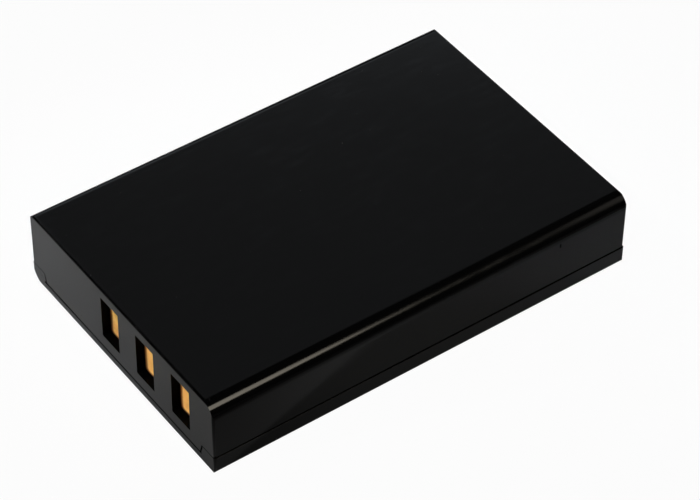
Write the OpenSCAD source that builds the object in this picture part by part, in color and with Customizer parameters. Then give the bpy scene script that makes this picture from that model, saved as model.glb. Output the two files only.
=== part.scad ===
// Rechargeable battery pack for a portable media player: two black shells round one flat cell, with
// a small protection board and three gilt contacts behind windows in the front end.
// X runs across the pack, Y from the contact end to the rear end, Z up from the face it lies on.

/* [Body] */
// Length of the pack, contact end to rear end
body_l = 53.4; // [48:0.1:60]
// Width of the pack
body_w = 35; // [34:0.1:40]
// Thickness of the pack
body_h = 9.6; // [9.2:0.1:12]
// Radius of the keyed long edge, upper right
key_top_r = 1.8; // [1.2:0.1:3]
// Radius of the keyed long edge, lower left
key_bottom_r = 2.3; // [1.6:0.1:2.3]
// Radius of the plain long edge, upper left
plain_top_r = 1.1; // [0.5:0.1:1.6]
// Radius of the plain long edge, lower right
plain_bottom_r = 0.7; // [0.3:0.1:1.2]
// Radius of the edges round the contact end
front_edge_r = 0.3; // [0.1:0.05:0.5]
// Radius of the upper shell's edges round the rear end
rear_edge_r = 0.2; // [0.15:0.05:0.6]
// Radius of the lower shell's upright edges at the rear end
rear_corner_r = 0.25; // [0.2:0.05:0.6]
// Amount by which the lower shell stands proud of the upper one, at the sides and the rear
lip = 0.1; // [0.05:0.05:0.25]

/* [Shells] */
// Thickness of the upper shell's side walls
side_wall = 0.55; // [0.5:0.05:0.8]
// Thickness of the upper face
top_wall = 0.5; // [0.4:0.05:0.8]
// Thickness of the lower face
floor_t = 0.5; // [0.4:0.05:0.8]
// Thickness of the wall at the contact end
front_wall = 1.3; // [1.1:0.05:1.8]
// Thickness of the upper shell's wall at the rear end
rear_wall = 0.55; // [0.5:0.05:1.2]
// Radius in the inner corners of the shells
inner_r = 0.2; // [0.1:0.05:0.4]

/* [Seam] */
// Height of the seam between the shells
seam_z = 2.4; // [2.4:0.05:3.4]
// Open width of the seam line
seam_gap = 0.1; // [0.04:0.02:0.16]
// Open width of the seam line under the front tab
tab_seam_gap = 0.16; // [0.06:0.02:0.2]
// Height of the lower edge of the upper shell's front tab
tab_z = 1.15; // [0.8:0.05:1.5]
// Width of the front tab where it leaves the seam
tab_w = 30.3; // [27:0.1:31]
// Amount by which each side of the tab leans in
tab_lean = 0.35; // [0.1:0.05:0.8]
// Distance of the tab's middle from the centre line
tab_x = 0.1; // [0:0.05:0.2]
// Open width beside each leaning side of the tab
tab_gap = 0.2; // [0.1:0.02:0.3]
// Thickness of the tongue that rises from the lower shell
tongue_t = 0.25; // [0.2:0.05:0.3]
// Height of the tongue above the seam
tongue_h = 0.9; // [0.5:0.1:1.4]
// Clearance round the tongue
tongue_gap = 0.04; // [0.02:0.01:0.08]
// Length of the shallow label recess in the underside
recess_l = 44; // [36:0.5:46]
// Width of the label recess
recess_w = 27; // [22:0.5:28]
// Depth of the label recess
recess_d = 0.12; // [0.05:0.01:0.2]
// Corner radius of the label recess
recess_r = 1.5; // [0.5:0.1:3]

/* [Contacts] */
// Distance from one contact window to the next
contact_pitch = 6.6; // [6:0.1:7]
// Distance of the middle contact from the centre line
contact_x = 4.85; // [4:0.05:5]
// Height of the windows' middle above the middle of the cell
window_rise = 0.75; // [0.5:0.05:0.75]
// Width of a window
window_w = 3.3; // [2.6:0.1:3.8]
// Height of a window
window_h = 5.6; // [4.6:0.1:5.8]
// Corner radius of a window
window_r = 0.15; // [0.05:0.05:0.4]
// Clearance between a contact and its window
contact_gap = 0.1; // [0.05:0.05:0.2]
// Thickness of a contact, from the board into its window
contact_t = 0.35; // [0.2:0.05:0.5]
// Radius of the edges of a contact's face
contact_edge_r = 0.1; // [0.05:0.01:0.15]

/* [Cell] */
// Depth of the bay between the front wall and the cell
bay_d = 3.6; // [3.5:0.1:4.6]
// Clearance between the cell and each side wall
cell_gap = 0.1; // [0.05:0.05:0.3]
// Radius of the long edges of the cell
cell_r = 3; // [2.6:0.1:3.6]
// Radius of the edges at the closed end of the can
can_end_r = 0.8; // [0.4:0.1:1.2]
// Wall of the can round its mouth
can_wall = 0.35; // [0.3:0.05:0.5]
// Thickness of the cap in the can's mouth
cap_t = 1; // [0.8:0.1:1.4]
// Weld gap round the cap
cap_gap = 0.03; // [0.02:0.01:0.05]
// Diameter of the filling hole
fill_d = 1.2; // [1:0.1:1.6]
// Distance of the filling hole from the terminal
fill_x = 7.2; // [6:0.1:8]
// Length of the scored vent in the cap
vent_l = 4; // [3:0.1:4.4]
// Width of the scored vent
vent_w = 2.6; // [2:0.1:3]
// Distance of the scored vent from the terminal, on the side away from the filling hole
vent_x = 6.6; // [6.2:0.1:7]
// Width of the score line
score_w = 0.2; // [0.1:0.05:0.3]
// Depth of the score line
score_d = 0.15; // [0.05:0.05:0.3]

/* [Cell terminal] */
// Diameter of the rivet shank
rivet_d = 1.6; // [1.2:0.1:2]
// Diameter of the rivet head
rivet_head_d = 2.6; // [2.2:0.1:3]
// Height of the rivet head above its washer
rivet_head_t = 0.2; // [0.15:0.05:0.25]
// Length of the washer under the head
washer_l = 5; // [4:0.1:5.6]
// Width of the washer
washer_w = 3; // [2.8:0.1:3.4]
// Thickness of the washer
washer_t = 0.25; // [0.2:0.05:0.3]
// Width of the gasket's rim round the washer
gasket_rim = 0.5; // [0.3:0.05:0.8]
// Height of the gasket's rim beside the washer
gasket_lip = 0.15; // [0.1:0.05:0.2]
// Thickness of the gasket under the washer
gasket_t = 0.25; // [0.2:0.05:0.3]
// Wall of the gasket's sleeve round the shank
sleeve_wall = 0.5; // [0.3:0.05:0.7]
// Fit between shank, sleeve and cap
rivet_fit = 0.03; // [0.02:0.01:0.05]

/* [Protection board] */
// Length of the board
board_l = 28; // [27.4:0.1:28.4]
// Height of the board
board_h = 7; // [6.8:0.05:7.1]
// Thickness of the board
board_t = 0.8; // [0.6:0.1:1]
// Distance of the board's middle from the centre line
board_x = 1.5; // [1.3:0.05:1.7]
// Clearance between the board and its holder
board_gap = 0.05; // [0.03:0.01:0.1]
// Radius of the notch at each end of the board
notch_r = 0.7; // [0.5:0.1:0.9]
// Clearance between the holder and the shells
holder_gap = 0.15; // [0.1:0.05:0.25]
// Height of the ledge that carries the long edges of the board
ledge_h = 0.35; // [0.25:0.05:0.5]
// Width of the ledge that carries the ends of the board
ledge_l = 0.9; // [0.7:0.1:1.1]

/* [Board parts] */
// Length of the controller chip's body
chip_l = 2.9; // [2.6:0.1:3.2]
// Width of the controller chip's body
chip_w = 1.6; // [1.4:0.1:1.8]
// Distance of the controller chip from the centre line
chip_x = -5.9; // [-6.2:0.1:-5.6]
// Length of the switch chip's body
switch_l = 3; // [2.8:0.1:3.2]
// Width of the switch chip's body
switch_w = 4.4; // [4.2:0.1:4.6]
// Distance of the switch chip from the centre line
switch_x = 0.8; // [0.6:0.1:1]
// Height of both chips
chip_h = 1; // [0.8:0.1:1.1]
// Reach of the chips' leads beyond their bodies
lead_reach = 0.7; // [0.5:0.1:0.9]
// Distance between the controller chip's leads
chip_pitch = 0.95; // [0.8:0.05:1.1]
// Distance between the switch chip's leads
switch_pitch = 0.65; // [0.55:0.05:0.7]
// Height of a chip's body above the board
chip_stand = 0.1; // [0.05:0.05:0.2]
// Width of a lead
lead_w = 0.3; // [0.2:0.05:0.35]
// Thickness of a lead
lead_t = 0.15; // [0.1:0.05:0.2]
// Length of a resistor, capacitor or thermistor
small_l = 1.6; // [1.4:0.1:1.8]
// Width of a resistor, capacitor or thermistor
small_w = 0.8; // [0.7:0.05:0.9]
// Height of a resistor
resistor_h = 0.45; // [0.35:0.05:0.6]
// Height of a capacitor
capacitor_h = 0.8; // [0.6:0.05:0.9]
// Length of the metal end of a small part
end_cap_l = 0.3; // [0.2:0.05:0.4]
// Amount by which a metal end stands proud
end_cap_p = 0.03; // [0.02:0.01:0.05]

/* [Leads] */
// Width of the nickel strips
strip_w = 3; // [2.4:0.1:3.4]
// Thickness of the nickel strips
strip_t = 0.15; // [0.1:0.01:0.18]
// Inner radius of a bend in a strip
bend_r = 0.2; // [0.1:0.05:0.3]
// Length of a strip's tab on the board
tab_l = 2; // [1.6:0.1:2.2]
// Length of the positive strip's foot on the cap
foot_l = 3; // [2.4:0.1:3.4]
// Distance of the positive strip's riser from the centre line
positive_x = -11; // [-11.2:0.1:-10.6]
// Distance of the negative strip's riser from the centre line
negative_x = 11.6; // [11.4:0.1:11.9]
// Length of the thermal fuse
fuse_l = 6; // [5:0.1:6.4]
// Width of the thermal fuse
fuse_w = 3.6; // [3:0.1:4]
// Distance of the fuse's near end from the centre line
fuse_x = 4.4; // [4.1:0.1:4.6]
// Overlap of a strip on the fuse
fuse_lap = 1.4; // [1:0.1:1.8]

/* [Liners] */
// Thickness of the adhesive tapes above and below the cell
tape_t = 0.15; // [0.1:0.05:0.3]
// Length of the tapes
tape_l = 38; // [30:0.5:42]
// Width of the tapes
tape_w = 22; // [16:0.5:26]
// Thickness of the foam pad behind the cell
pad_t = 0.3; // [0.2:0.05:0.6]
// Length of the foam pad across the pack
pad_l = 26; // [20:0.5:27]
// Height of the foam pad
pad_h = 5; // [4:0.1:6]
// Thickness of the paper insulator on the cap
paper_t = 0.15; // [0.1:0.01:0.18]
// Margin between the paper and the edge of the cell
paper_margin = 0.5; // [0.3:0.1:1]
// Clearance round what passes through the paper
paper_gap = 0.25; // [0.15:0.05:0.4]

/* [Hidden] */
$fn = 48;
eps = 0.5; // overshoot of a cut past the face that it leaves by

// Planes along the length, from the contact end
front_y = -body_l / 2;
rear_y = body_l / 2;
wall_y = front_y + front_wall;
contact_y = wall_y - contact_t;
parts_y = wall_y + board_t;
cell_y = wall_y + bay_d;
cell_rear_y = rear_y - lip - rear_wall - pad_t;
paper_y = cell_y - paper_t;
washer_y = cell_y - gasket_t - washer_t;
head_y = washer_y - rivet_head_t;

// Planes across the thickness and the width
cell_bottom = floor_t + tape_t;
cell_top = body_h - top_wall - tape_t;
cell_z = (cell_bottom + cell_top) / 2;
cell_half_w = body_w / 2 - lip - side_wall - cell_gap;
window_z = cell_z + window_rise;

// Insets from the widest form of the pack: side, floor, top, front and rear
lower_inset = [0, 0, 0, 0, 0];
upper_inset = [lip, 0, 0, 0, lip];
cavity_inset = [lip + side_wall, floor_t, top_wall, front_wall, lip + rear_wall];
holder_inset = cavity_inset + holder_gap * [1, 1, 1, 0, 1];

// Columns of small parts on the board, between the switch chip and the negative strip
column_w = 2 * small_w;
column_x = switch_x + switch_w / 2 + lead_reach + small_w;
row_z = small_l * 0.75;

function inner_of(r, inset) = max(r - inset, inner_r);

// A rectangle with its own radius at each corner: lower left, lower right, upper right, upper left
module round_rect(x0, x1, y0, y1, r) {
    corners = [[x0, y0], [x1, y0], [x1, y1], [x0, y1]];
    inward = [[1, 1], [-1, 1], [-1, -1], [1, -1]];
    function along(i) = corners[i] + [inward[i].x * r[i], 0];
    function up(i) = corners[i] + [0, inward[i].y * r[i]];
    polygon([up(0), along(0), along(1), up(1), up(2), along(2), along(3), up(3)]);
    for (i = [0:3])
        translate(corners[i] + inward[i] * r[i])
            circle(r = r[i]);
}

// A rectangle about the origin with one radius
module pad_outline(w, h, r) {
    round_rect(-w / 2, w / 2, -h / 2, h / 2, [r, r, r, r]);
}

// Extrusions of an outline: drawn in X and Z and run along Y, or drawn in Y and Z and run along X
module along_y(y0, y1) {
    translate([0, y1, 0])
        rotate([90, 0, 0])
            linear_extrude(y1 - y0)
                children();
}

module along_x(x0, x1) {
    translate([x0, 0, 0])
        rotate([90, 0, 90])
            linear_extrude(x1 - x0)
                children();
}

// A round bar along Y at a place in X and Z
module bar_y(x, z, d, y0, y1) {
    translate([x, y1, z])
        rotate([90, 0, 0])
            cylinder(d = d, h = y1 - y0);
}

// The form of the pack, taken in by an inset: the outlines seen from the end, from above and from
// the side meet, so that every edge has its own radius
module pack_form(inset, rear_r) {
    x = body_w / 2 - inset[0];
    z0 = inset[1];
    z1 = body_h - inset[2];
    y0 = front_y + inset[3];
    y1 = rear_y - inset[4];
    front_r = inner_of(front_edge_r, inset[3]);
    end_r = [inner_of(key_bottom_r, inset[0]), inner_of(plain_bottom_r, inset[0]),
             inner_of(key_top_r, inset[0] - lip), inner_of(plain_top_r, inset[0] - lip)];
    intersection() {
        along_y(y0, y1)
            round_rect(-x, x, z0, z1, end_r);
        translate([0, 0, z0])
            linear_extrude(z1 - z0)
                round_rect(-x, x, y0, y1, [front_r, front_r, rear_r, rear_r]);
        along_x(-x, x)
            round_rect(y0, y1, z0, z1, [front_r, rear_r, rear_r, front_r]);
    }
}

module cavity() {
    pack_form(cavity_inset, inner_of(rear_edge_r, rear_wall));
}

// The outline of the front tab, seen from the contact end, with room let in below and beside it
module tab_outline(below, beside) {
    half = tab_w / 2 + beside;
    translate([tab_x, 0])
        polygon([[-half, seam_z + eps], [-half, seam_z], [-half + tab_lean, tab_z - below],
                 [half - tab_lean, tab_z - below], [half, seam_z], [half, seam_z + eps]]);
}

// All that lies above the seam, the front tab included, with room let in on its lower side
module above_seam(below, beside, below_tab) {
    translate([-body_w, -body_l, seam_z - below])
        cube([2 * body_w, 2 * body_l, body_h]);
    along_y(front_y - eps, wall_y)
        tab_outline(below_tab, beside);
}

// The ring inside the walls where the tongue stands, grown by a clearance; it leaves the front free
module tongue_ring(gap) {
    side = lip + side_wall - tongue_t - gap;
    rear = lip + rear_wall - tongue_t - gap;
    intersection() {
        difference() {
            pack_form([side, floor_t, top_wall, front_wall, rear], inner_of(rear_edge_r, rear - lip));
            cavity();
        }
        translate([-body_w, wall_y + inner_r - gap, seam_z - seam_gap])
            cube([2 * body_w, body_l, seam_gap + tongue_h + gap]);
    }
}

module contact_outline(gap) {
    pad_outline(window_w - 2 * gap, window_h - 2 * gap, window_r);
}

module upper_case() {
    color([0.03, 0.03, 0.035])
        difference() {
            intersection() {
                pack_form(upper_inset, rear_edge_r);
                above_seam(-seam_gap / 2, -tab_gap / 2, -tab_seam_gap / 2);
            }
            cavity();
            tongue_ring(tongue_gap);
            along_y(front_y - eps, wall_y + eps)
                for (i = [-1:1])
                    translate([contact_x + i * contact_pitch, window_z])
                        contact_outline(0);
        }
}

module lower_case() {
    color([0.035, 0.035, 0.04]) {
        difference() {
            pack_form(lower_inset, rear_corner_r);
            above_seam(seam_gap / 2, tab_gap / 2, tab_seam_gap / 2);
            cavity();
            translate([0, 0, -eps])
                linear_extrude(recess_d + eps)
                    pad_outline(recess_w, recess_l, recess_r);
        }
        tongue_ring(0);
    }
}

// The frame that holds the board off the cell, open through the middle for the board's parts
module board_holder() {
    color([0.06, 0.06, 0.065])
        difference() {
            intersection() {
                pack_form(holder_inset, inner_r);
                translate([-body_w, wall_y, 0])
                    cube([2 * body_w, bay_d - paper_t, body_h]);
            }
            translate([board_x, 0, cell_z]) {
                along_y(wall_y - eps, parts_y)
                    square([board_l + 2 * board_gap, board_h + 2 * board_gap], center = true);
                along_y(parts_y - eps, paper_y + eps)
                    square([board_l - 2 * ledge_l, board_h - 2 * ledge_h], center = true);
            }
        }
}

module circuit_board() {
    color([0.04, 0.25, 0.12])
        translate([board_x, 0, cell_z])
            along_y(wall_y, parts_y)
                difference() {
                    square([board_l, board_h], center = true);
                    for (side = [-1, 1])
                        translate([side * board_l / 2, 0])
                            circle(r = notch_r);
                }
}

// A contact on the board, one of three in a row, its face rounded at the edges and seen in its window
module contact_block(place) {
    w = window_w / 2 - contact_gap;
    h = window_h / 2 - contact_gap;
    e = contact_edge_r;
    color([0.85, 0.62, 0.25])
        translate([contact_x + place * contact_pitch, 0, window_z])
            intersection() {
                along_y(contact_y, wall_y)
                    contact_outline(contact_gap);
                translate([0, 0, -h])
                    linear_extrude(2 * h)
                        round_rect(-w, w, contact_y, wall_y + eps, [e, e, e, e]);
                along_x(-w, w)
                    round_rect(contact_y, wall_y + eps, -h, h, [e, e, e, e]);
            }
}

// A chip on the board with rows of bent leads on its left and right sides
module chip(x, l, w, per_side, pitch) {
    middle = lead_reach / 2;
    color([0.05, 0.05, 0.055])
        translate([x, parts_y, cell_z]) {
            translate([-w / 2, chip_stand, -l / 2])
                cube([w, chip_h - chip_stand, l]);
            for (side = [0, 1], i = [0:per_side - 1])
                mirror([side, 0, 0])
                    translate([w / 2, 0, (i - (per_side - 1) / 2) * pitch - lead_w / 2]) {
                        translate([-lead_t, chip_h / 2, 0])
                            cube([lead_t + middle, lead_t, lead_w]);
                        translate([middle - lead_t, 0, 0])
                            cube([lead_t, chip_h / 2 + lead_t, lead_w]);
                        translate([middle - lead_t, 0, 0])
                            cube([middle + lead_t, lead_t, lead_w]);
                    }
        }
}

// A small part on the board, upright, with a metal cap at each end
module small_part(column, row, h) {
    translate([column_x + column * column_w, parts_y, cell_z + row * row_z]) {
        translate([-small_w / 2, 0, -small_l / 2])
            cube([small_w, h, small_l]);
        for (end = [-small_l / 2, small_l / 2 - end_cap_l])
            translate([-small_w / 2 - end_cap_p, 0, end])
                cube([small_w + 2 * end_cap_p, h + end_cap_p, end_cap_l]);
    }
}

module resistors() {
    color([0.08, 0.08, 0.09])
        for (row = [-1, 1])
            small_part(0, row, resistor_h);
}

module capacitors() {
    color([0.6, 0.45, 0.28])
        for (row = [-1, 1])
            small_part(1, row, capacitor_h);
}

module thermistor() {
    color([0.1, 0.12, 0.1])
        small_part(2, 0, resistor_h);
}

// A quarter bend of a strip in plan, about the middle of the bend and turned by an angle
module bend(angle) {
    reach = bend_r + strip_t;
    rotate(angle)
        intersection() {
            difference() {
                circle(r = reach);
                circle(r = bend_r);
            }
            square(reach);
        }
}

// A strip with a foot against the plane foot_y, a riser at x and a tab on the board
module bent_strip(x, foot_y, foot) {
    reach = bend_r + strip_t;
    color([0.75, 0.74, 0.7])
        translate([x, 0, cell_z - strip_w / 2])
            linear_extrude(strip_w) {
                translate([-foot, foot_y - strip_t])
                    square([foot - bend_r, strip_t]);
                translate([-bend_r, foot_y - reach])
                    bend(0);
                translate([0, parts_y + reach])
                    square([strip_t, foot_y - parts_y - 2 * reach]);
                translate([reach, parts_y + reach])
                    bend(180);
                translate([reach, parts_y])
                    square([tab_l - reach, strip_t]);
            }
}

// The flat link from the rivet head to the fuse
module fuse_link() {
    x0 = -rivet_head_d / 2;
    color([0.75, 0.74, 0.7])
        translate([x0, head_y - strip_t, cell_z - strip_w / 2])
            cube([fuse_x + fuse_lap - x0, strip_t, strip_w]);
}

module thermal_fuse() {
    color([0.12, 0.12, 0.13])
        translate([fuse_x, head_y, cell_z - fuse_w / 2])
            cube([fuse_l, paper_y - head_y, fuse_w]);
}

// The outline of the cell seen from its end, taken in by an inset
module cell_outline(inset) {
    r = cell_r - inset;
    translate([0, cell_z])
        pad_outline(2 * (cell_half_w - inset), cell_top - cell_bottom - 2 * inset, r);
}

module cell_can() {
    e = can_end_r;
    color([0.68, 0.69, 0.71])
        difference() {
            intersection() {
                along_y(cell_y, cell_rear_y)
                    cell_outline(0);
                translate([0, 0, cell_bottom])
                    linear_extrude(cell_top - cell_bottom)
                        round_rect(-cell_half_w, cell_half_w, cell_y - eps, cell_rear_y, [e, e, e, e]);
                along_x(-cell_half_w, cell_half_w)
                    round_rect(cell_y - eps, cell_rear_y, cell_bottom, cell_top, [e, e, e, e]);
            }
            along_y(cell_y - eps, cell_y + cap_t)
                cell_outline(can_wall);
        }
}

module slot_outline(l, w) {
    pad_outline(l, w, w / 2);
}

module cell_cap() {
    sleeve_d = rivet_d + 2 * (sleeve_wall + 2 * rivet_fit);
    color([0.72, 0.73, 0.75])
        difference() {
            along_y(cell_y, cell_y + cap_t)
                cell_outline(can_wall + cap_gap);
            bar_y(0, cell_z, sleeve_d, cell_y - eps, cell_y + cap_t + eps);
            bar_y(fill_x, cell_z, fill_d, cell_y - eps, cell_y + cap_t + eps);
            translate([-vent_x, 0, cell_z])
                along_y(cell_y - eps, cell_y + score_d)
                    difference() {
                        slot_outline(vent_l, vent_w);
                        slot_outline(vent_l - 2 * score_w, vent_w - 2 * score_w);
                    }
        }
}

module fill_plug() {
    color([0.6, 0.61, 0.63])
        bar_y(fill_x, cell_z, fill_d - 2 * rivet_fit, cell_y, cell_y + cap_t);
}

// The rivet through the cap, with the washer that it is closed on
module negative_terminal() {
    color([0.78, 0.76, 0.7]) {
        bar_y(0, cell_z, rivet_head_d, head_y, washer_y);
        bar_y(0, cell_z, rivet_d, washer_y, cell_y + cap_t);
        translate([-washer_l / 2, washer_y, cell_z - washer_w / 2])
            cube([washer_l, washer_t, washer_w]);
    }
}

// The plastic gasket that keeps the terminal off the cap: a tray for the washer and a sleeve
module terminal_gasket() {
    l = washer_l + 2 * rivet_fit;
    w = washer_w + 2 * rivet_fit;
    plate_y = cell_y - gasket_t;
    color([0.9, 0.9, 0.88])
        translate([0, 0, cell_z])
            difference() {
                union() {
                    along_y(plate_y - gasket_lip, cell_y)
                        square([l + 2 * gasket_rim, w + 2 * gasket_rim], center = true);
                    bar_y(0, 0, rivet_d + 2 * (sleeve_wall + rivet_fit), plate_y, cell_y + cap_t);
                }
                along_y(plate_y - gasket_lip - eps, plate_y)
                    square([l, w], center = true);
                bar_y(0, 0, rivet_d + 2 * rivet_fit, plate_y - eps, cell_y + cap_t + eps);
            }
}

// The paper on the cap, cut out round the gasket, the vent and the positive strip's foot
module cap_insulator() {
    tray_l = washer_l + 2 * (rivet_fit + gasket_rim + paper_gap);
    tray_w = washer_w + 2 * (rivet_fit + gasket_rim + paper_gap);
    color([0.75, 0.72, 0.6])
        along_y(paper_y, cell_y)
            difference() {
                cell_outline(paper_margin);
                translate([0, cell_z]) {
                    square([tray_l, tray_w], center = true);
                    translate([-vent_x, 0])
                        slot_outline(vent_l + 2 * paper_gap, vent_w + 2 * paper_gap);
                    translate([positive_x - foot_l - paper_gap, -strip_w / 2 - paper_gap])
                        square([foot_l + strip_t + 2 * paper_gap, strip_w + 2 * paper_gap]);
                }
            }
}

// An adhesive tape that lies on the plane z0
module cell_tape(z0) {
    color([0.85, 0.8, 0.55])
        translate([-tape_w / 2, (cell_y + cell_rear_y - tape_l) / 2, z0])
            cube([tape_w, tape_l, tape_t]);
}

module rear_pad() {
    color([0.12, 0.12, 0.12])
        translate([-pad_l / 2, cell_rear_y, cell_z - pad_h / 2])
            cube([pad_l, pad_t, pad_h]);
}

upper_case();
lower_case();
board_holder();
circuit_board();
contact_block(-1);  // positive_contact
contact_block(0);  // sense_contact
contact_block(1);  // negative_contact
chip(chip_x, chip_l, chip_w, 3, chip_pitch);  // protection_chip
chip(switch_x, switch_l, switch_w, 4, switch_pitch);  // switch_chip
resistors();
capacitors();
thermistor();
bent_strip(positive_x, cell_y, foot_l);  // positive_strip
bent_strip(negative_x, head_y, negative_x - fuse_x - fuse_l + fuse_lap);  // negative_strip
fuse_link();
thermal_fuse();
cap_insulator();
cell_can();
cell_cap();
fill_plug();
negative_terminal();
terminal_gasket();
cell_tape(cell_top);  // upper_tape
cell_tape(floor_t);  // lower_tape
rear_pad();
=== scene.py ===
# Media player battery: a black two-shell pack with three gilt contacts, lit as photographed
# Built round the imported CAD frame, in metres; it lies on Z = 0 with its contact end towards -Y

import bpy, math
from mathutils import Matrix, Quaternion, Vector


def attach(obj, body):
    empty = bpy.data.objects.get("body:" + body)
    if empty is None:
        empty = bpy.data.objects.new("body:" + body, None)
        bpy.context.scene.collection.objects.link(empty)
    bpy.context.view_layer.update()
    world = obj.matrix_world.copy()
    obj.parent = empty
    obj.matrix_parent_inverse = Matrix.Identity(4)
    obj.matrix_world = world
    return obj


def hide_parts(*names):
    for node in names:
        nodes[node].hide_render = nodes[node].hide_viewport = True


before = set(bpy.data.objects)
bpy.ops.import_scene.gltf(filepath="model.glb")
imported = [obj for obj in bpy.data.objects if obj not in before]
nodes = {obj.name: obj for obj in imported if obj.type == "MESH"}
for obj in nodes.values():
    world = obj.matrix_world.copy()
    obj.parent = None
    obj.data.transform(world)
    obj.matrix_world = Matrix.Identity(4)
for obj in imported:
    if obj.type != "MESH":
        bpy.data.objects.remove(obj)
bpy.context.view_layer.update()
scene = bpy.context.scene
mm = 0.001  # lengths below are written in millimetres and multiplied by this

print("frame loaded:", len(nodes), "nodes")


# Helpers for the modelling

def deselectAll():
    if bpy.context.mode != "OBJECT":
        bpy.ops.object.mode_set(mode="OBJECT")
    bpy.ops.object.select_all(action="DESELECT")


def makeActive(obj):
    deselectAll()
    obj.hide_set(False)
    obj.select_set(True)
    bpy.context.view_layer.objects.active = obj


def applyModifiers(obj):
    makeActive(obj)
    for name in [m.name for m in obj.modifiers]:
        bpy.ops.object.modifier_apply(modifier=name)


weld = {"distance": 0.0005, "flatWithin": 0.3}  # millimetres, degrees


def copyOfNode(name, newName):  # a welded copy of a CAD node, to be finished as its own piece
    deselectAll()
    obj = nodes[name].copy()
    obj.data = nodes[name].data.copy()
    obj.name = newName
    obj.parent = None
    for key in list(obj.keys()):
        del obj[key]
    scene.collection.objects.link(obj)
    makeActive(obj)
    bpy.ops.object.mode_set(mode="EDIT")
    bpy.ops.mesh.select_all(action="SELECT")
    bpy.ops.mesh.remove_doubles(threshold=weld["distance"] * mm)
    bpy.ops.mesh.customdata_custom_splitnormals_clear()
    flat = math.radians(weld["flatWithin"])
    bpy.ops.mesh.dissolve_limited(angle_limit=flat, delimit={"NORMAL"})
    bpy.ops.object.mode_set(mode="OBJECT")
    return obj


def setMaterial(obj, material):
    obj.data.materials.clear()
    obj.data.materials.append(material)


# Shader maths as expressions: a wrapped socket adds its Math nodes as it is used

class Sock:
    def __init__(self, tree, socket):
        self.tree = tree
        self.socket = socket

    def join(self, operation, *others):
        node = self.tree.add("ShaderNodeMath", {"operation": operation}, [self, *others])
        return node.out()

    def __add__(self, other): return self.join("ADD", other)
    def __radd__(self, other): return self.join("ADD", other)
    def __sub__(self, other): return self.join("SUBTRACT", other)
    def __rsub__(self, other): return self.join("MULTIPLY", -1.0).join("ADD", other)
    def __mul__(self, other): return self.join("MULTIPLY", other)
    def __rmul__(self, other): return self.join("MULTIPLY", other)
    def __truediv__(self, other): return self.join("DIVIDE", other)
    def __pow__(self, other): return self.join("POWER", other)
    def __gt__(self, other): return self.join("GREATER_THAN", other)
    def __lt__(self, other): return self.join("LESS_THAN", other)
    def atLeast(self, other): return self.join("MAXIMUM", other)
    def abs(self): return self.join("ABSOLUTE")
    def between(self, low, high): return (self > low) * (self < high)

    def ramp(self, low, high, toLow=0.0, toHigh=1.0):  # a smooth step from one value to another
        values = {"Value": self, "From Min": low, "From Max": high,
                  "To Min": toLow, "To Max": toHigh}
        smooth = {"interpolation_type": "SMOOTHSTEP"}
        return self.tree.add("ShaderNodeMapRange", smooth, values).out()


class Added:
    def __init__(self, tree, node):
        self.tree = tree
        self.node = node

    def out(self, name=0):
        return Sock(self.tree, self.node.outputs[name])


class Tree:
    def __init__(self, nodeTree):
        self.nodes = nodeTree.nodes
        self.links = nodeTree.links
        self.nodes.clear()

    def add(self, kind, settings=None, values=None):
        node = self.nodes.new(kind)
        for key, value in (settings or {}).items():
            setattr(node, key, value)
        pairs = values.items() if isinstance(values, dict) else enumerate(values or [])
        for key, value in pairs:
            self.feed(node.inputs[key], value)
        return Added(self, node)

    def feed(self, socket, value):
        if isinstance(value, Sock):
            self.links.new(value.socket, socket)
        elif isinstance(value, (tuple, list)) and len(value) == 3 and socket.type == "RGBA":
            socket.default_value = (*value, 1.0)
        else:
            socket.default_value = value

    def place(self):  # Object coordinates: metres in the pack's frame
        return self.add("ShaderNodeTexCoord").out("Object")

    def axes(self, vector, letters="XYZ"):
        split = self.add("ShaderNodeSeparateXYZ", {}, [vector])
        return [split.out(letter) for letter in letters]

    def noise(self, vector, perMm, detail=2.0, roughness=0.5):
        values = {"Vector": vector, "Scale": perMm / mm, "Detail": detail, "Roughness": roughness}
        return self.add("ShaderNodeTexNoise", {"noise_dimensions": "3D"}, values).out("Fac")

    def mixColour(self, factor, first, second):
        colours = {"data_type": "RGBA", "clamp_factor": True}
        values = {0: factor, 6: first, 7: second}  # by number, because several share a name
        return self.add("ShaderNodeMix", colours, values).out(2)

    def stretched(self, vector, scale):
        return self.add("ShaderNodeVectorMath", {"operation": "MULTIPLY"}, [vector, scale]).out()

    def bump(self, height, depthMm, strength=1.0, normal=None):
        values = {"Height": height, "Distance": depthMm * mm, "Strength": strength}
        if normal is not None:
            values["Normal"] = normal
        return self.add("ShaderNodeBump", {}, values).out()


def newMaterial(name):
    material = bpy.data.materials.new(name)
    material.use_nodes = True
    return material, Tree(material.node_tree)


def finishSurface(tree, values):
    shader = tree.add("ShaderNodeBsdfPrincipled", {}, values).out()
    tree.add("ShaderNodeOutputMaterial", {}, {"Surface": shader})


# Materials: the black case

caseFinish = {
    "black": (0.001, 0.001, 0.0011),
    "dust": (0.05, 0.048, 0.045),
    "dustShare": 0.6,
    "roughness": 0.125,
    "grainRoughness": 0.06,
    "wipeRoughness": 0.05,
    "speckRoughness": 0.3,
    "dullRoughness": 0.5,
    "dullGrain": 0.1,
    "dullGloss": 0.03,
    "grainPerMm": 9.0,
    "grainDepth": 0.0006,
    "wavePerMm": 0.09,
    "waveDepth": 0.0035,
    "wipePerMm": 1.6,
    "wipeStretch": (1.0, 0.18, 1.0),
    "wipeRange": (0.45, 0.8),
    "specksPerMm": 2.6,
    "speckRange": (0.77, 0.8),
}

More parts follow.
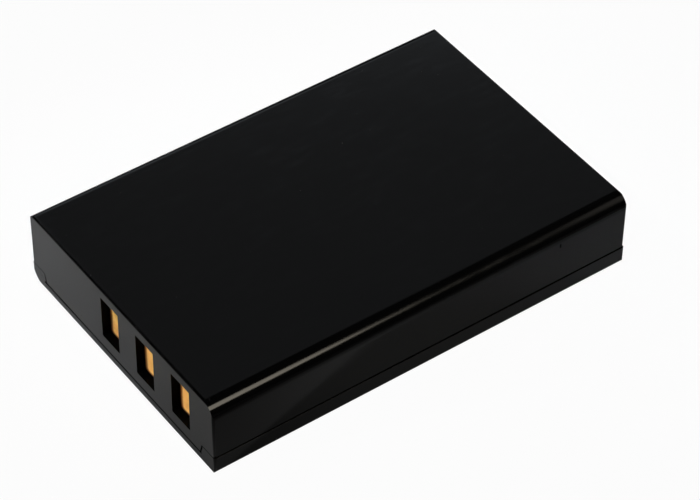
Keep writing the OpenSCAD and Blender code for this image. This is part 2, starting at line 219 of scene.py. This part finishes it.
# Boxes across, along and up. The walls of the contact windows and the lips of the gap under the tab
# are painted shade: they are made dull so that they stay dark like the shade in these recesses, and
# there is one small nick high on the right side
dullPlaces = {
    "windows": ((-3.6, 13.3), (-27.0, -25.3), (2.6, 8.5)),
    "tabGap": ((-15.1, 15.1), (-27.0, -25.3), (1.03, 1.29)),
    "nick": ((17.0, 17.6), (17.49, 17.65), (7.22, 7.78)),
}
windowDepth = (-26.695, -26.675)  # the windows turn dull from here, and the face itself is glossy


def insideBox(place, box):
    across, along, up = [value.between(*limits) for value, limits in zip(place, box)]
    return across * along * up


def blackCase(name, seed):
    f = caseFinish
    material, t = newMaterial(name)
    shift = (seed, seed, 0.0)
    here = t.add("ShaderNodeVectorMath", {"operation": "ADD"}, [t.place(), shift]).out()
    grain = t.noise(here, f["grainPerMm"], 3.0, 0.6)
    wave = t.noise(here, f["wavePerMm"], 1.0)
    wipe = t.noise(t.stretched(here, f["wipeStretch"]), f["wipePerMm"], 4.0, 0.6)
    wipe = wipe.ramp(*f["wipeRange"])
    specks = t.noise(here, f["specksPerMm"]).ramp(*f["speckRange"])
    colour = t.mixColour(specks * f["dustShare"], f["black"], f["dust"])
    place = [value / mm for value in t.axes(t.place())]
    # painted shade in the window walls and the gap under the tab, made by a dull finish there; the
    # nick is a real mark
    dull = insideBox(place, dullPlaces["windows"]) * place[1].ramp(*windowDepth)
    dull = dull.atLeast(insideBox(place, dullPlaces["tabGap"]))
    dull = dull.atLeast(insideBox(place, dullPlaces["nick"]))
    roughness = (grain - 0.5) * f["grainRoughness"] + wipe * f["wipeRoughness"]
    roughness = roughness + specks * f["speckRoughness"] + f["roughness"]
    dullRoughness = (grain - 0.5) * f["dullGrain"] + f["dullRoughness"]
    relief = t.bump(grain, f["grainDepth"], 1.0, t.bump(wave, f["waveDepth"]))
    glossy = t.add("ShaderNodeBsdfPrincipled", {}, {
        "Base Color": colour, "Roughness": roughness, "Normal": relief, "IOR": 1.5}).out()
    matt = t.add("ShaderNodeBsdfPrincipled", {}, {
        "Base Color": colour, "Roughness": dullRoughness, "Normal": relief,
        "Specular IOR Level": f["dullGloss"]}).out()
    mixed = t.add("ShaderNodeMixShader", {}, [dull, glossy, matt]).out()
    t.add("ShaderNodeOutputMaterial", {}, {"Surface": mixed})
    return material


# Materials: the contacts

goldFinish = {
    "gold": (1.0, 0.64, 0.22),
    "deep": (0.85, 0.42, 0.1),
    "deepRange": (0.4, 0.8),
    "deepShare": 0.3,
    "brushedShare": 0.12,
    # painted shadow: the dark colours and the ranges below paint the shade that the window walls
    # cast on each contact's left and lower margins
    "shadowBlack": (0.006, 0.002, 0.001),
    "brown": (0.26, 0.075, 0.01),
    "brownFrom": (0.0, 0.3),
    "goldFrom": (0.25, 0.9),
    "roughness": 0.6,
    "reliefDepth": 0.0008,
    "halfWidth": 1.65,
    "halfHeight": 2.8,
    "unshadedAcross": (0.1, 1.0),
    "unshadedUp": (0.05, 0.75),
    "wander": 0.25,
}


def giltContact(name, x, z):
    f = goldFinish
    material, t = newMaterial(name)
    here = t.place()
    across, up = t.axes(here, "XZ")
    tone = t.noise(here, 0.7, 3.0)
    brushed = t.noise(t.stretched(here, (6.0, 1.0, 0.6)), 1.4, 3.0)
    pits = t.noise(here, 9.0, 2.0)
    # painted shadow: the left and lower margins of each contact are painted dark brown to black,
    # standing in for the shade the window walls cast there, and the middle stays bright gold
    wander = (tone - 0.5) * f["wander"]
    fromLeft = (across / mm - x) + f["halfWidth"] + wander
    fromBelow = (up / mm - z) + f["halfHeight"] + wander
    unshadedMiddle = fromLeft.ramp(*f["unshadedAcross"]) * fromBelow.ramp(*f["unshadedUp"])
    deep = tone.ramp(*f["deepRange"]) * f["deepShare"] + brushed * f["brushedShare"]
    gold = t.mixColour(deep, f["gold"], f["deep"])
    margin = t.mixColour(unshadedMiddle.ramp(*f["brownFrom"]), f["shadowBlack"], f["brown"])
    colour = t.mixColour(unshadedMiddle.ramp(*f["goldFrom"]), margin, gold)
    roughness = tone * 0.08 + pits * 0.05 - unshadedMiddle * 0.1 + f["roughness"]
    relief = t.bump(brushed, f["reliefDepth"], 1.0, t.bump(pits, f["reliefDepth"]))
    finishSurface(t, {"Base Color": colour, "Metallic": 1.0,
                      "Roughness": roughness, "Normal": relief})
    return material


# Materials: the parts inside

def mouldedPlastic(name, colour, roughness=0.55, grainPerMm=6.0, depth=0.004):
    material, t = newMaterial(name)
    here = t.place()
    grain = t.noise(here, grainPerMm, 3.0, 0.6)
    cloud = t.noise(here, 0.35, 2.0)
    dark = tuple(c * 0.8 for c in colour)
    shade = t.mixColour(cloud.ramp(0.3, 0.7), dark, colour)
    finishSurface(t, {"Base Color": shade, "Roughness": (grain - 0.5) * 0.2 + roughness,
                      "Normal": t.bump(grain, depth)})
    return material


weldSpot = {"flat": 0.25, "rim": 0.4, "dish": -0.03, "roughness": 0.15}


def drawnMetal(name, colour, roughness, stretch, weldSpots=()):
    material, t = newMaterial(name)
    here = t.place()
    across, up = t.axes(here, "XZ")
    lines = t.noise(t.stretched(here, stretch), 3.0, 4.0, 0.6)
    cloud = t.noise(here, 0.25, 2.0)
    dark = tuple(c * 0.72 for c in colour)
    shade = t.mixColour(cloud.ramp(0.3, 0.75) * 0.6 + lines * 0.25, colour, dark)
    relief = t.bump(lines, 0.002)
    rough = (lines - 0.5) * 0.16 + roughness
    for spotX, spotZ in weldSpots:  # small dished spots
        dx = (across - spotX * mm) / mm
        dz = (up - spotZ * mm) / mm
        reach = (dx * dx + dz * dz) ** 0.5
        spot = reach.ramp(weldSpot["flat"], weldSpot["rim"], 1.0, 0.0)
        relief = t.bump(spot, weldSpot["dish"], 1.0, relief)
        rough = rough + spot * weldSpot["roughness"]
    finishSurface(t, {"Base Color": shade, "Metallic": 1.0, "Roughness": rough, "Normal": relief})
    return material


boardFinish = {
    "green": (0.012, 0.13, 0.05),
    "overCopper": (0.03, 0.24, 0.1),
    "weavePerMm": 0.9,
    "tracksPerMm": 0.9,
    "turnsPerMm": 0.55,
}


def boardLaminate(name):
    f = boardFinish
    material, t = newMaterial(name)
    here = t.place()
    across, up = t.axes(here, "XZ")
    cloth = 1.0
    for direction in "XZ":  # glass cloth under the green lacquer
        bands = {"wave_type": "BANDS", "bands_direction": direction}
        values = {"Vector": here, "Scale": f["weavePerMm"] / mm}
        cloth = t.add("ShaderNodeTexWave", bands, values).out("Fac") * cloth
    tracks = (across / mm * f["tracksPerMm"]).join("PINGPONG", 1.0).ramp(0.42, 0.5)
    turns = (up / mm * f["turnsPerMm"] + 0.3).join("PINGPONG", 1.0).ramp(0.6, 0.68)
    copper = tracks * turns
    shade = t.mixColour(cloth * 0.3 + copper * 0.5, f["green"], f["overCopper"])
    finishSurface(t, {"Base Color": shade, "Roughness": 0.3 + cloth * 0.08, "Coat Weight": 0.4,
                      "Normal": t.bump(copper + cloth * 0.2, 0.02)})
    return material


tinColour = (0.72, 0.71, 0.69)
smallRows = {"middle": 4.8, "offset": 1.2, "tinAt": 0.5}  # heights of the rows and of the tin


def smallPart(name, body, rows):  # ceramic with tinned ends, by height
    material, t = newMaterial(name)
    here = t.place()
    up, = t.axes(here, "Z")
    fromMiddle = ((up - rows["middle"] * mm).abs() / mm - rows["offset"]).abs()
    tin = fromMiddle.ramp(rows["tinAt"] - 0.02, rows["tinAt"] + 0.02)
    grain = t.noise(here, 7.0, 3.0)
    ceramic = t.mixColour(grain * 0.4, body, tuple(c * 0.6 for c in body))
    shade = t.mixColour(tin, ceramic, tinColour)
    finishSurface(t, {"Base Color": shade, "Metallic": tin, "Roughness": 0.42 - tin * 0.1,
                      "Normal": t.bump(grain, 0.004)})
    return material


chipFinish = {"epoxy": (0.014, 0.014, 0.015), "leads": (0.7, 0.69, 0.67), "dotRange": (0.12, 0.18),
              "dotDepth": -0.06}


# Black epoxy with a dimple by the first lead, and tinned leads outside the body's width
def chipPackage(name, x, halfWidth, dot):
    f = chipFinish
    material, t = newMaterial(name)
    here = t.place()
    across, up = t.axes(here, "XZ")
    out = (across - x * mm).abs() / mm
    tin = out.ramp(halfWidth - 0.01, halfWidth + 0.01)
    dx = (across - dot[0] * mm) / mm
    dz = (up - dot[1] * mm) / mm
    dimple = ((dx * dx + dz * dz) ** 0.5).ramp(*f["dotRange"], 1.0, 0.0)
    grain = t.noise(here, 9.0, 3.0)
    shade = t.mixColour(tin, f["epoxy"], f["leads"])
    relief = t.bump(dimple, f["dotDepth"], 1.0, t.bump(grain, 0.003))
    finishSurface(t, {"Base Color": shade, "Metallic": tin, "Roughness": 0.6 - tin * 0.3,
                      "Normal": relief})
    return material


def fibrePaper(name, colour):
    material, t = newMaterial(name)
    here = t.place()
    fibres = t.noise(t.stretched(here, (1.0, 1.0, 3.0)), 2.4, 5.0, 0.7)
    cloud = t.noise(here, 0.4, 2.0)
    shade = t.mixColour(fibres.ramp(0.35, 0.7) * 0.6 + cloud * 0.3, colour,
                        tuple(c * 0.68 for c in colour))
    finishSurface(t, {"Base Color": shade, "Roughness": 0.85, "Normal": t.bump(fibres, 0.01)})
    return material


foamFinish = {"skin": (0.012, 0.012, 0.013), "walls": (0.06, 0.06, 0.062), "cellsPerMm": 5.0}


def closedFoam(name):
    f = foamFinish
    material, t = newMaterial(name)
    values = {"Vector": t.place(), "Scale": f["cellsPerMm"] / mm}
    reach = t.add("ShaderNodeTexVoronoi", {"feature": "F1"}, values).out("Distance")
    shade = t.mixColour(reach.ramp(0.1, 0.6), f["skin"], f["walls"])
    finishSurface(t, {"Base Color": shade, "Roughness": 0.9, "Normal": t.bump(reach, 0.05)})
    return material


print("materials ready")


# The shells: copies of the CAD shells with a fine radius broken on every sharp edge

shells = {
    "upper": {"node": "upper_case", "piece": "upperShell", "radius": 0.025, "seed": 0.0},
    "lower": {"node": "lower_case", "piece": "lowerShell", "radius": 0.025, "seed": 0.137},
}
shellEdges = {"segments": 2, "sharpOver": 40.0, "smoothUnder": 50.0, "flatWeight": 50}


def makeShell(s):
    obj = copyOfNode(s["node"], s["piece"])
    bevel = obj.modifiers.new("brokenEdges", "BEVEL")
    bevel.width = s["radius"] * mm
    bevel.segments = shellEdges["segments"]
    bevel.limit_method = "ANGLE"
    bevel.angle_limit = math.radians(shellEdges["sharpOver"])
    bevel.use_clamp_overlap = True
    bevel.harden_normals = False
    applyModifiers(obj)
    makeActive(obj)
    bpy.ops.object.shade_smooth_by_angle(angle=math.radians(shellEdges["smoothUnder"]))
    # broad flats stay flat up to their radii
    weighted = obj.modifiers.new("flatFaces", "WEIGHTED_NORMAL")
    weighted.mode = "FACE_AREA"
    weighted.weight = shellEdges["flatWeight"]
    weighted.keep_sharp = True
    applyModifiers(obj)
    setMaterial(obj, blackCase(s["piece"] + "Black", s["seed"]))
    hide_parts(s["node"])
    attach(obj, "root")
    print("shell:", s["piece"], len(obj.data.polygons), "faces")


for s in shells.values():
    makeShell(s)


# The contacts and everything inside keep their CAD shape and get their finish here

contactPlaces = {"positive_contact": -1.75, "sense_contact": 4.85, "negative_contact": 11.45}
contactHeight = 5.55
for name, x in contactPlaces.items():
    setMaterial(nodes[name], giltContact(name + "Gilt", x, contactHeight))

nickel = (0.66, 0.63, 0.58)
stripLines = (1.0, 1.0, 8.0)
kraft = (0.62, 0.5, 0.24)

inside = {
    "board_holder": mouldedPlastic("holderPlastic", (0.02, 0.02, 0.021)),
    "circuit_board": boardLaminate("boardLaminate"),
    "protection_chip": chipPackage("controllerEpoxy", -5.9, 0.8, (-6.4, 5.9)),
    "switch_chip": chipPackage("switchEpoxy", 0.8, 2.2, (-0.9, 5.9)),
    "resistors": smallPart("resistorGlaze", (0.02, 0.02, 0.024), smallRows),
    "capacitors": smallPart("capacitorCeramic", (0.42, 0.27, 0.14), smallRows),
    "thermistor": mouldedPlastic("thermistorCeramic", (0.05, 0.08, 0.06), 0.45),
    "positive_strip": drawnMetal("positiveNickel", nickel, 0.3, stripLines,
                                 [(-13.0, 4.2), (-13.0, 5.4), (-12.0, 4.2), (-12.0, 5.4)]),
    "negative_strip": drawnMetal("negativeNickel", nickel, 0.3, stripLines,
                                 [(9.7, 4.2), (9.7, 5.4)]),
    "fuse_link": drawnMetal("linkNickel", nickel, 0.3, stripLines,
                            [(-0.5, 4.8), (0.5, 4.8), (5.2, 4.2), (5.2, 5.4)]),
    "thermal_fuse": mouldedPlastic("fuseWafer", (0.03, 0.03, 0.033), 0.5),
    "cap_insulator": fibrePaper("insulatingPaper", (0.6, 0.52, 0.34)),
    "cell_can": drawnMetal("canAluminium", (0.78, 0.79, 0.81), 0.3, (6.0, 0.4, 6.0)),
    "cell_cap": drawnMetal("capAluminium", (0.8, 0.81, 0.83), 0.34, (0.5, 1.0, 5.0)),
    "fill_plug": drawnMetal("plugAluminium", (0.72, 0.73, 0.75), 0.38, (2.0, 2.0, 2.0)),
    "negative_terminal": drawnMetal("rivetNickel", (0.68, 0.65, 0.6), 0.26, (2.0, 1.0, 2.0)),
    "terminal_gasket": mouldedPlastic("gasketPlastic", (0.72, 0.72, 0.68), 0.5),
    "upper_tape": fibrePaper("upperTape", kraft),
    "lower_tape": fibrePaper("lowerTape", kraft),
    "rear_pad": closedFoam("rearFoam"),
}
for name, material in inside.items():
    setMaterial(nodes[name], material)

print("finishes set on", len(inside) + len(contactPlaces), "nodes")


# The floor and the light

floorSheet = {
    "radius": 1500.0,
    "below": 0.01,  # a hair under the pack, so that the two don't share a plane
    "albedo": (0.58, 0.61, 0.67),
    # painted shade: the far colour and the corner entries below darken the sheet away from the pack
    # and beside its front right corner
    "far": (0.02, 0.02, 0.022),
    "packHalf": (17.5, 26.7),
    "farRange": (1.5, 32.0),
    "farShare": 0.87,
    "cornerAcross": (16.0, 18.5),
    "cornerAlong": (-24.0, -4.0),
    "cornerShare": 0.55,
    "fleckShare": 0.02,
    "cameraShare": 0.97,
    "glossyShare": 0.02,
}


def seenShare(t, cameraShare, glossyShare):  # how much of the plain white each kind of ray sees
    rays = t.add("ShaderNodeLightPath")
    camera = rays.out("Is Camera Ray") * cameraShare
    other = rays.out("Is Glossy Ray").atLeast(rays.out("Is Transmission Ray")) * glossyShare
    return camera.atLeast(other)


def makeFloor():
    f = floorSheet
    deselectAll()
    bpy.ops.mesh.primitive_circle_add(vertices=96, radius=f["radius"] * mm, fill_type="NGON")
    floor = bpy.context.object
    floor.name = "floorSheet"
    floor.location.z = -f["below"] * mm
    material, t = newMaterial("paleFloor")
    here = t.place()
    fleck = t.noise(here, 0.2, 2.0)
    across, along = t.axes(here, "XY")
    # painted shade: the sheet's colour darkens away from the pack, as if only the ground near it
    # were lit, and a painted shadow darkens it beside the pack's front right corner
    halfWidth, halfLength = f["packHalf"]
    away = (across.abs() / mm - halfWidth).atLeast(along.abs() / mm - halfLength)
    cornerShadow = (across / mm).ramp(*f["cornerAcross"]) * (along / mm).ramp(*f["cornerAlong"], 1.0, 0.0)
    dark = away.ramp(*f["farRange"]) * f["farShare"] + cornerShadow * f["cornerShare"]
    shade = t.mixColour(dark + fleck * f["fleckShare"], f["albedo"], f["far"])
    paper = t.add("ShaderNodeBsdfDiffuse", {}, {"Color": shade}).out()
    white = t.add("ShaderNodeEmission", {}, {"Color": (1.0, 1.0, 1.0), "Strength": 1.0}).out()
    share = seenShare(t, f["cameraShare"], f["glossyShare"])
    mixed = t.add("ShaderNodeMixShader", {}, [share, paper, white]).out()
    t.add("ShaderNodeOutputMaterial", {}, {"Surface": mixed})
    setMaterial(floor, material)


makeFloor()

# Soft boxes, each by its middle and the point it faces; a grid in front narrows the spread
softBoxes = {
    "edgeLight": {"middle": (381.6, 143.8, 473.2), "faces": (-26.0, -41.0, 43.0),
                  "size": (185.0, 320.0), "roll": 9.0, "shape": "ELLIPSE", "spread": 90.0,
                  "radiance": 0.89, "tint": (1.0, 0.92, 0.76)},
    "rearGlow": {"middle": (341.8, 424.3, 392.7), "faces": (17.0, 26.0, 9.6),
                 "size": (220.0, 440.0), "roll": -33.0, "shape": "ELLIPSE",
                 "radiance": 0.4, "tint": (1.0, 0.94, 0.84)},
    "frontPool": {"middle": (-972.0, -331.0, 375.0), "faces": (-97.0, -60.0, 0.0),
                  "size": (40.0, 40.0), "spread": 3.0, "radiance": 7.0, "tint": (1.0, 0.95, 0.89)},
    "contactLight": {"middle": (-235.0, -985.0, 188.0), "faces": (6.0, -26.7, 5.5),
                     "size": (30.0, 30.0), "spread": 3.4, "radiance": 2.25,
                     "tint": (1.0, 0.95, 0.86)},
    "rearPool": {"middle": (285.0, -405.0, 866.0), "faces": (38.0, 36.0, 0.0),
                 "size": (30.0, 30.0), "spread": 3.0, "radiance": 0.4, "tint": (0.98, 0.98, 1.0)},
    "backPanel": {"middle": (-688.0, 390.0, 764.0), "size": (620.0, 520.0),
                  "radiance": 0.109, "tint": (0.93, 0.96, 1.0)},
    "backGlow": {"middle": (-888.0, 472.0, 654.0), "size": (700.0, 260.0),
                 "radiance": 0.5, "tint": (0.82, 0.91, 1.0)},
    "leftPool": {"middle": (-791.0, -306.0, 380.0), "faces": (-35.0, 0.0, 0.0),
                 "size": (40.0, 40.0), "spread": 4.0, "radiance": 3.5, "tint": (1.0, 0.95, 0.89)},
    "endPool": {"middle": (-207.0, 808.0, 450.0), "faces": (-12.0, 58.0, 0.0),
                "size": (30.0, 30.0), "spread": 3.0, "radiance": 2.0, "tint": (1.0, 0.95, 0.89)},
}

# Dim white panels round the pack, above the horizon, each by its turn from +X and its width
fillPanels = {
    "distance": 900.0,
    "height": 340.0,
    "tall": 380.0,
    "radiance": 0.22,
    "places": {"rightFill": (0, 380), "rearRightFill": (58, 300), "rearFill": (86, 700),
               "leftFill": (192, 600), "frontFill": (277, 700), "cornerFill": (321, 700)},
}


def fillBox(turn, width):
    p = fillPanels
    angle = math.radians(turn)
    middle = (p["distance"] * math.cos(angle), p["distance"] * math.sin(angle), p["height"])
    return {"middle": middle, "size": (width, p["tall"]), "radiance": p["radiance"],
            "tint": (1.0, 1.0, 1.0)}


def makeSoftBox(name, s):
    middle = Vector(s["middle"]) * mm
    lamp = bpy.data.lights.new(name, "AREA")
    lamp.shape = s.get("shape", "RECTANGLE")
    lamp.size = s["size"][0] * mm
    lamp.size_y = s["size"][1] * mm
    lamp.spread = math.radians(s.get("spread", 180.0))
    share = math.pi / 4 if lamp.shape == "ELLIPSE" else 1.0
    lamp.energy = s["radiance"] * lamp.size * lamp.size_y * share * math.pi
    lamp.color = s["tint"]
    obj = bpy.data.objects.new(name, lamp)
    obj.location = middle
    away = middle - Vector(s.get("faces", (0.0, 0.0, 0.0))) * mm
    turn = Quaternion((0.0, 0.0, 1.0), math.radians(s.get("roll", 0.0)))
    obj.rotation_euler = (away.to_track_quat("Z", "Y") @ turn).to_euler()
    scene.collection.objects.link(obj)


for name, s in softBoxes.items():
    makeSoftBox(name, s)
for name, (turn, width) in fillPanels["places"].items():
    makeSoftBox(name, fillBox(turn, width))


studioWorld = {"light": 0.01, "glossyShare": 0.005}


def makeWorld():
    world = bpy.data.worlds.new("studio")
    world.use_nodes = True
    scene.world = world
    t = Tree(world.node_tree)
    share = seenShare(t, 1.0, studioWorld["glossyShare"])
    plain = {"Color": (1.0, 1.0, 1.0)}
    dim = t.add("ShaderNodeBackground", {}, {**plain, "Strength": studioWorld["light"]}).out()
    white = t.add("ShaderNodeBackground", {}, {**plain, "Strength": 1.0}).out()
    mixed = t.add("ShaderNodeMixShader", {}, [share, dim, white]).out()
    t.add("ShaderNodeOutputWorld", {}, {"Surface": mixed})


makeWorld()
print("floor and light set")


# The camera, fitted to the outline of the pack in the photo

cameraFit = {
    "place": (186.013, -134.258, 226.283),
    "right": (0.58473, 0.81116, 0.01047),
    "up": (-0.57028, 0.40184, 0.71645),
    "lens": 152.9,
    "sensor": 36.0,
    "clip": (0.01, 20.0),  # metres
}


def makeCamera():
    c = cameraFit
    data = bpy.data.cameras.new("photoCamera")
    data.lens = c["lens"]
    data.sensor_width = c["sensor"]
    data.sensor_fit = "HORIZONTAL"
    data.clip_start, data.clip_end = c["clip"]
    obj = bpy.data.objects.new("photoCamera", data)
    right = Vector(c["right"]).normalized()
    up = Vector(c["up"])
    up = (up - up.dot(right) * right).normalized()
    back = right.cross(up)
    matrix = obj.matrix_world.to_3x3()
    for i, column in enumerate((right, up, back)):
        matrix.col[i] = column
    obj.matrix_world = matrix.to_4x4()
    obj.location = Vector(c["place"]) * mm
    scene.collection.objects.link(obj)
    scene.camera = obj


makeCamera()
scene.view_settings.view_transform = "Standard"
print("camera set")
